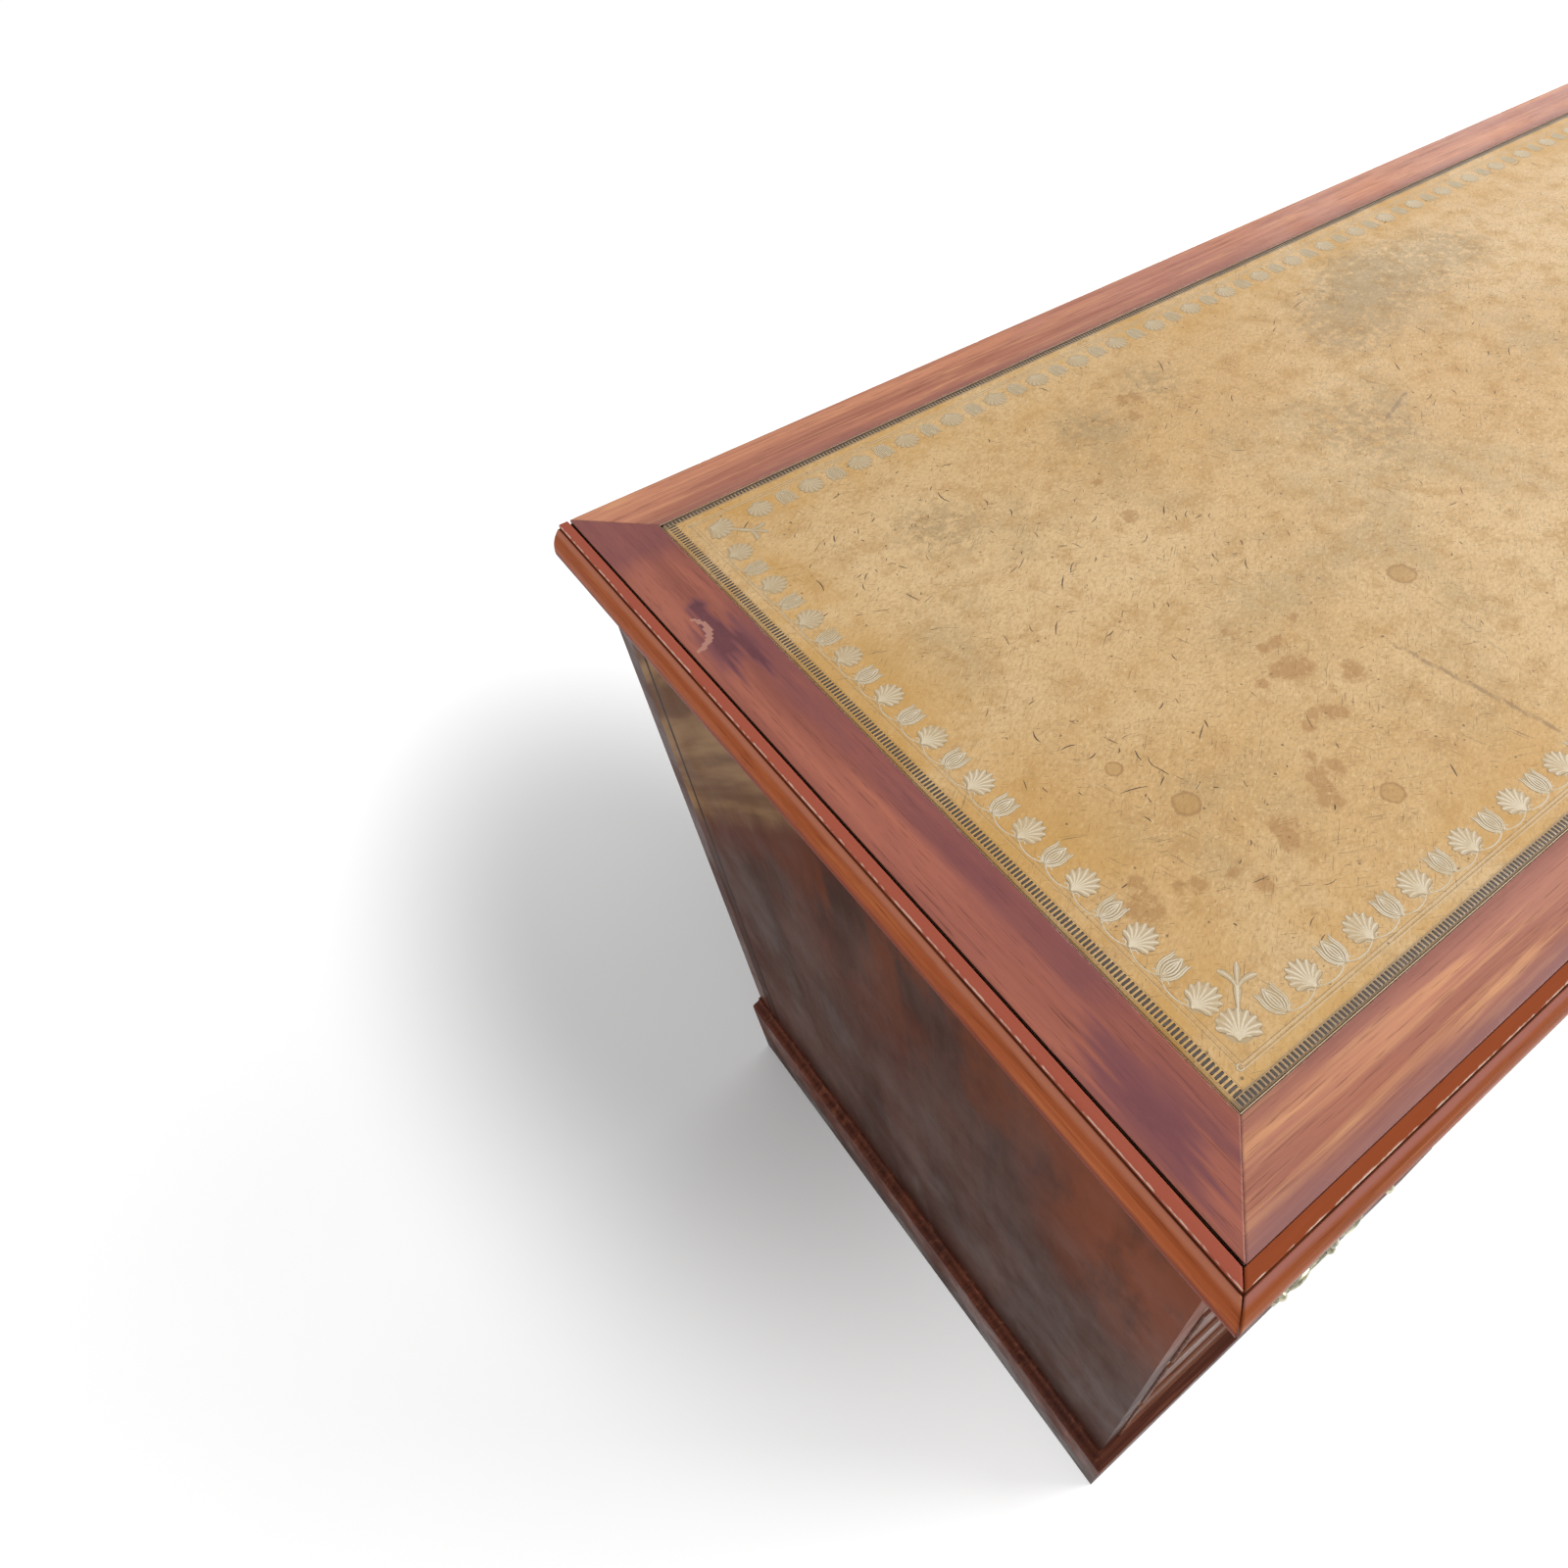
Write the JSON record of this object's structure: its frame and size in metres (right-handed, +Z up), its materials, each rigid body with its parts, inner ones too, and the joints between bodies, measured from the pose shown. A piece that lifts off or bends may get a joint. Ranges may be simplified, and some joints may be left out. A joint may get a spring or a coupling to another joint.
{
  "type": "pedestal desk",
  "caption": "Kneehole pedestal desk with a leather-lined, mitre-bordered top on plinthed pedestals, with sliding drawers in frieze and pedestals and swinging brass bail handles.",
  "frame": {"origin": "on the floor, under the middle of the box that holds the desk", "axes": "+Z up, +X along the top to the right, -Y the side where the drawers open"},
  "size_m": [1.52, 0.604, 0.775],
  "materials": {
    "mahogany": "french polished, dark red-brown",
    "border_wood": "polished, worn",
    "moulding_wood": "polished, warm",
    "plinth_wood": "polished, dark",
    "carcase_wood": "unpolished",
    "drawer_lining": "unpolished oak",
    "leather": "waxed tan hide, blind tooled",
    "brass": "aged"
  },
  "bodies": {
    "carcase": {"top_board": "carcase_wood", "leather_inset": "leather", "crossband_front": "border_wood", "crossband_back": "border_wood", "crossband_left": "border_wood", "crossband_right": "border_wood", "edge_moulding_front": "moulding_wood", "edge_moulding_left": "moulding_wood", "edge_moulding_right": "moulding_wood", "end_left": "mahogany", "end_right": "mahogany", "inner_side_left": "mahogany", "inner_side_right": "mahogany", "back_left": "mahogany", "back_right": "mahogany", "back_frieze": "mahogany", "top_rails": "carcase_wood", "dustboards_left": "carcase_wood", "dustboards_right": "carcase_wood", "kneehole_board": "carcase_wood", "plinth_left": "plinth_wood", "plinth_right": "plinth_wood"},
    "drawer_center_frieze": {"front_center_frieze": "mahogany", "box_center_frieze": "drawer_lining", "posts_center_frieze": "brass"},
    "bail_center_frieze_left": {"bail_center_frieze_left": "brass"},
    "bail_center_frieze_right": {"bail_center_frieze_right": "brass"},
    "drawer_left_frieze": {"front_left_frieze": "mahogany", "box_left_frieze": "drawer_lining", "posts_left_frieze": "brass"},
    "bail_left_frieze": {"bail_left_frieze": "brass"},
    "drawer_left_upper": {"front_left_upper": "mahogany", "box_left_upper": "drawer_lining", "posts_left_upper": "brass"},
    "bail_left_upper": {"bail_left_upper": "brass"},
    "drawer_left_middle": {"front_left_middle": "mahogany", "box_left_middle": "drawer_lining", "posts_left_middle": "brass"},
    "bail_left_middle": {"bail_left_middle": "brass"},
    "drawer_left_lower": {"front_left_lower": "mahogany", "box_left_lower": "drawer_lining", "posts_left_lower": "brass"},
    "bail_left_lower": {"bail_left_lower": "brass"},
    "drawer_right_frieze": {"front_right_frieze": "mahogany", "box_right_frieze": "drawer_lining", "posts_right_frieze": "brass"},
    "bail_right_frieze": {"bail_right_frieze": "brass"},
    "drawer_right_upper": {"front_right_upper": "mahogany", "box_right_upper": "drawer_lining", "posts_right_upper": "brass"},
    "bail_right_upper": {"bail_right_upper": "brass"},
    "drawer_right_middle": {"front_right_middle": "mahogany", "box_right_middle": "drawer_lining", "posts_right_middle": "brass"},
    "bail_right_middle": {"bail_right_middle": "brass"},
    "drawer_right_lower": {"front_right_lower": "mahogany", "box_right_lower": "drawer_lining", "posts_right_lower": "brass"},
    "bail_right_lower": {"bail_right_lower": "brass"}
  },
  "joints": [
    {"name": "slide_center_frieze", "type": "slide", "parent": "carcase", "child": "drawer_center_frieze", "axis": [0, -1, 0], "range_m": [0, 0.42]},
    {"name": "swing_center_frieze_left", "type": "hinge", "parent": "drawer_center_frieze", "child": "bail_center_frieze_left", "pos_m": [-0.1661, -0.293, 0.679], "axis": [-1, 0, 0], "range_deg": [-15, 195]},
    {"name": "swing_center_frieze_right", "type": "hinge", "parent": "drawer_center_frieze", "child": "bail_center_frieze_right", "pos_m": [0.1661, -0.293, 0.679], "axis": [-1, 0, 0], "range_deg": [-15, 195]},
    {"name": "slide_left_frieze", "type": "slide", "parent": "carcase", "child": "drawer_left_frieze", "axis": [0, -1, 0], "range_m": [0, 0.42]},
    {"name": "swing_left_frieze", "type": "hinge", "parent": "drawer_left_frieze", "child": "bail_left_frieze", "pos_m": [-0.5144, -0.293, 0.679], "axis": [-1, 0, 0], "range_deg": [-15, 195]},
    {"name": "slide_left_upper", "type": "slide", "parent": "carcase", "child": "drawer_left_upper", "axis": [0, -1, 0], "range_m": [0, 0.42]},
    {"name": "swing_left_upper", "type": "hinge", "parent": "drawer_left_upper", "child": "bail_left_upper", "pos_m": [-0.5144, -0.293, 0.533], "axis": [-1, 0, 0], "range_deg": [-15, 195]},
    {"name": "slide_left_middle", "type": "slide", "parent": "carcase", "child": "drawer_left_middle", "axis": [0, -1, 0], "range_m": [0, 0.42]},
    {"name": "swing_left_middle", "type": "hinge", "parent": "drawer_left_middle", "child": "bail_left_middle", "pos_m": [-0.5144, -0.293, 0.3755], "axis": [-1, 0, 0], "range_deg": [-15, 195]},
    {"name": "slide_left_lower", "type": "slide", "parent": "carcase", "child": "drawer_left_lower", "axis": [0, -1, 0], "range_m": [0, 0.42]},
    {"name": "swing_left_lower", "type": "hinge", "parent": "drawer_left_lower", "child": "bail_left_lower", "pos_m": [-0.5144, -0.293, 0.2025], "axis": [-1, 0, 0], "range_deg": [-15, 195]},
    {"name": "slide_right_frieze", "type": "slide", "parent": "carcase", "child": "drawer_right_frieze", "axis": [0, -1, 0], "range_m": [0, 0.42]},
    {"name": "swing_right_frieze", "type": "hinge", "parent": "drawer_right_frieze", "child": "bail_right_frieze", "pos_m": [0.5144, -0.293, 0.679], "axis": [-1, 0, 0], "range_deg": [-15, 195]},
    {"name": "slide_right_upper", "type": "slide", "parent": "carcase", "child": "drawer_right_upper", "axis": [0, -1, 0], "range_m": [0, 0.42]},
    {"name": "swing_right_upper", "type": "hinge", "parent": "drawer_right_upper", "child": "bail_right_upper", "pos_m": [0.5144, -0.293, 0.533], "axis": [-1, 0, 0], "range_deg": [-15, 195]},
    {"name": "slide_right_middle", "type": "slide", "parent": "carcase", "child": "drawer_right_middle", "axis": [0, -1, 0], "range_m": [0, 0.42]},
    {"name": "swing_right_middle", "type": "hinge", "parent": "drawer_right_middle", "child": "bail_right_middle", "pos_m": [0.5144, -0.293, 0.3755], "axis": [-1, 0, 0], "range_deg": [-15, 195]},
    {"name": "slide_right_lower", "type": "slide", "parent": "carcase", "child": "drawer_right_lower", "axis": [0, -1, 0], "range_m": [0, 0.42]},
    {"name": "swing_right_lower", "type": "hinge", "parent": "drawer_right_lower", "child": "bail_right_lower", "pos_m": [0.5144, -0.293, 0.2025], "axis": [-1, 0, 0], "range_deg": [-15, 195]}
  ]
}
